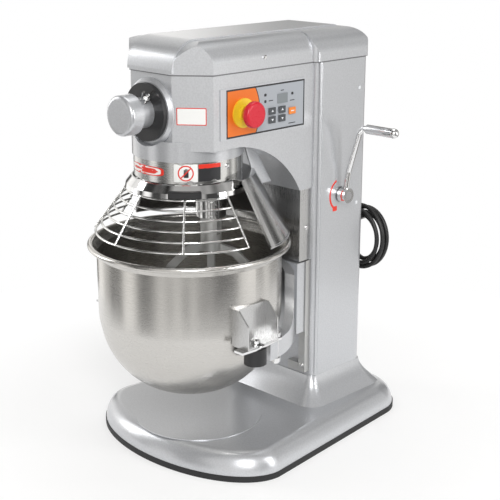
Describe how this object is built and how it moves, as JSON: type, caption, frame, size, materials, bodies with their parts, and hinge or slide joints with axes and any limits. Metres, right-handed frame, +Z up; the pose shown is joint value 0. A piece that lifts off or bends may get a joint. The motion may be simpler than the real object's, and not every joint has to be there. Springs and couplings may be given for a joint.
{
  "type": "stand mixer",
  "caption": "Bench-standing planetary mixer with lifting bowl and crank, flat beater on a planetary head, wire guard and attachment hub.",
  "frame": {"origin": "point on the bench straight below the middle of the bowl and the planetary axis", "axes": "+Z up, -Y towards the front with the attachment hub, +X towards the side with the controls and the crank"},
  "size_m": [0.4572, 0.6208, 0.7521],
  "materials": {
    "hammer_paint": "silver-grey hammer paint, semi-gloss",
    "rubber_black": "matt",
    "stainless": "brushed",
    "polished": "polished",
    "cast_alloy": "satin cast",
    "steel": "machined",
    "black_plastic": "matt",
    "panel_label": "printed film",
    "stop_yellow": "gloss",
    "stop_red": "gloss",
    "key_dark": "satin",
    "key_orange": "satin",
    "motor_paint": "satin",
    "belt": "matt",
    "cord_black": "satin"
  },
  "bodies": {
    "frame": {"base_casting": "hammer_paint", "rubber_edge": "rubber_black", "column_casting": "hammer_paint", "back_cover": "hammer_paint", "head_casting": "hammer_paint", "top_cover": "hammer_paint", "neck_ring": "stainless", "splash_shield": "stainless", "slide_rails": "stainless", "slide_cover": "stainless", "control_panel": "panel_label", "stop_ring": "stop_yellow", "gear_dial": "steel", "hub_neck": "stainless", "hub_disc": "black_plastic", "ring_gear": "steel", "bearings": "steel", "inner_shelves": "steel", "motor": "motor_paint", "drive_belt": "belt", "crank_bush": "steel", "case_screws": "polished", "cord_gland": "black_plastic", "cord_rise": "cord_black", "cord_tail": "cord_black", "cord_coil": "cord_black", "cord_hook": "stainless", "mains_plug": "cord_black"},
    "carriage": {"bowl_yoke": "hammer_paint", "lift_rack": "steel", "clamp_bolts": "polished", "bowl": "stainless", "bowl_ears": "stainless"},
    "crank": {"crank_shaft": "steel", "crank_arm": "polished"},
    "grip": {"crank_grip": "black_plastic"},
    "guard": {"guard_ring": "polished", "wire_guard": "polished", "guard_grip": "black_plastic"},
    "planet_head": {"planet_carrier": "cast_alloy", "main_spindle": "steel", "main_gear": "steel"},
    "beater": {"beater_shaft": "polished", "flat_beater": "cast_alloy"},
    "counter": {"counter_shaft": "steel"},
    "rotor": {"motor_shaft": "steel"},
    "hub_drive": {"hub_shaft": "steel"},
    "plug": {"hub_plug": "polished"},
    "wing_screw": {"thumb_screw": "polished"},
    "stop": {"stop_button": "stop_red"},
    "lever": {"gear_lever": "black_plastic"},
    "clamp_right": {"clamp_plate_right": "polished"},
    "clamp_left": {"clamp_plate_left": "polished"},
    "knob_right": {"clamp_knob_right": "black_plastic"},
    "knob_left": {"clamp_knob_left": "black_plastic"},
    "button_timer_up": {"key_timer_up": "key_dark"},
    "button_timer_down": {"key_timer_down": "key_dark"},
    "button_hold_up": {"key_hold_up": "key_dark"},
    "button_hold_down": {"key_hold_down": "key_dark"},
    "button_start": {"key_start": "key_orange"}
  },
  "joints": [
    {"name": "bowl_lift", "type": "slide", "parent": "frame", "child": "carriage", "axis": [0, 0, 1], "range_m": [-0.0565, 0]},
    {"name": "crank_turn", "type": "hinge", "parent": "frame", "child": "crank", "pos_m": [0.12, 0.28, 0.445], "axis": [1, 0, 0], "range_deg": [0, 180]},
    {"name": "grip_spin", "type": "hinge", "parent": "crank", "child": "grip", "pos_m": [0.2, 0.283, 0.575], "axis": [1, 0, 0], "continuous": true},
    {"name": "guard_swing", "type": "hinge", "parent": "frame", "child": "guard", "pos_m": [0, 0, 0.5], "axis": [0, 0, 1], "range_deg": [0, 120]},
    {"name": "planet_turn", "type": "hinge", "parent": "frame", "child": "planet_head", "pos_m": [0, 0, 0.53], "axis": [0, 0, 1], "continuous": true},
    {"name": "beater_spin", "type": "hinge", "parent": "planet_head", "child": "beater", "pos_m": [0.056, 0, 0.5], "axis": [0, 0, 1], "continuous": true},
    {"name": "counter_spin", "type": "hinge", "parent": "frame", "child": "counter", "pos_m": [0, 0.108, 0.65], "axis": [0, 0, 1], "continuous": true},
    {"name": "rotor_spin", "type": "hinge", "parent": "frame", "child": "rotor", "pos_m": [0, 0.281, 0.6], "axis": [0, 0, 1], "continuous": true},
    {"name": "hub_spin", "type": "hinge", "parent": "frame", "child": "hub_drive", "pos_m": [0, -0.05, 0.6315], "axis": [0, -1, 0], "continuous": true},
    {"name": "hub_plug_pull", "type": "slide", "parent": "frame", "child": "plug", "axis": [0, -1, 0], "range_m": [0, 0.046]},
    {"name": "wing_screw_turn", "type": "hinge", "parent": "frame", "child": "wing_screw", "pos_m": [0, -0.112, 0.6315], "axis": [0.6, 0, 0.8], "continuous": true},
    {"name": "stop_press", "type": "slide", "parent": "frame", "child": "stop", "axis": [-1, 0, 0], "range_m": [0, 0.005], "stiffness_N_per_m": 2000},
    {"name": "lever_swing", "type": "hinge", "parent": "frame", "child": "lever", "pos_m": [-0.108, 0.07, 0.628], "axis": [1, 0, 0], "range_deg": [-30, 30]},
    {"name": "clamp_right_swing", "type": "hinge", "parent": "carriage", "child": "clamp_right", "pos_m": [0.1795, 0.036, 0.243], "axis": [0, 0, 1], "range_deg": [0, 50]},
    {"name": "clamp_left_swing", "type": "hinge", "parent": "carriage", "child": "clamp_left", "pos_m": [-0.1795, 0.036, 0.243], "axis": [0, 0, -1], "range_deg": [0, 50]},
    {"name": "knob_right_turn", "type": "hinge", "parent": "clamp_right", "child": "knob_right", "pos_m": [0.182, -0.018, 0.226], "axis": [0, 0, 1], "continuous": true},
    {"name": "knob_left_turn", "type": "hinge", "parent": "clamp_left", "child": "knob_left", "pos_m": [-0.182, -0.018, 0.226], "axis": [0, 0, 1], "continuous": true},
    {"name": "timer_up_press", "type": "slide", "parent": "frame", "child": "button_timer_up", "axis": [-1, 0, 0], "range_m": [0, 0.0008], "stiffness_N_per_m": 800},
    {"name": "timer_down_press", "type": "slide", "parent": "frame", "child": "button_timer_down", "axis": [-1, 0, 0], "range_m": [0, 0.0008], "stiffness_N_per_m": 800},
    {"name": "hold_up_press", "type": "slide", "parent": "frame", "child": "button_hold_up", "axis": [-1, 0, 0], "range_m": [0, 0.0008], "stiffness_N_per_m": 800},
    {"name": "hold_down_press", "type": "slide", "parent": "frame", "child": "button_hold_down", "axis": [-1, 0, 0], "range_m": [0, 0.0008], "stiffness_N_per_m": 800},
    {"name": "start_press", "type": "slide", "parent": "frame", "child": "button_start", "axis": [-1, 0, 0], "range_m": [0, 0.0008], "stiffness_N_per_m": 800}
  ],
  "couplings": [
    {"joint": "crank_turn", "follows": "bowl_lift", "rad_per_m": -55.556},
    {"joint": "beater_spin", "follows": "planet_turn", "ratio": -3.3333},
    {"joint": "counter_spin", "follows": "planet_turn", "ratio": -1.7},
    {"joint": "rotor_spin", "follows": "planet_turn", "ratio": -4.5591},
    {"joint": "hub_spin", "follows": "planet_turn", "ratio": 1}
  ]
}
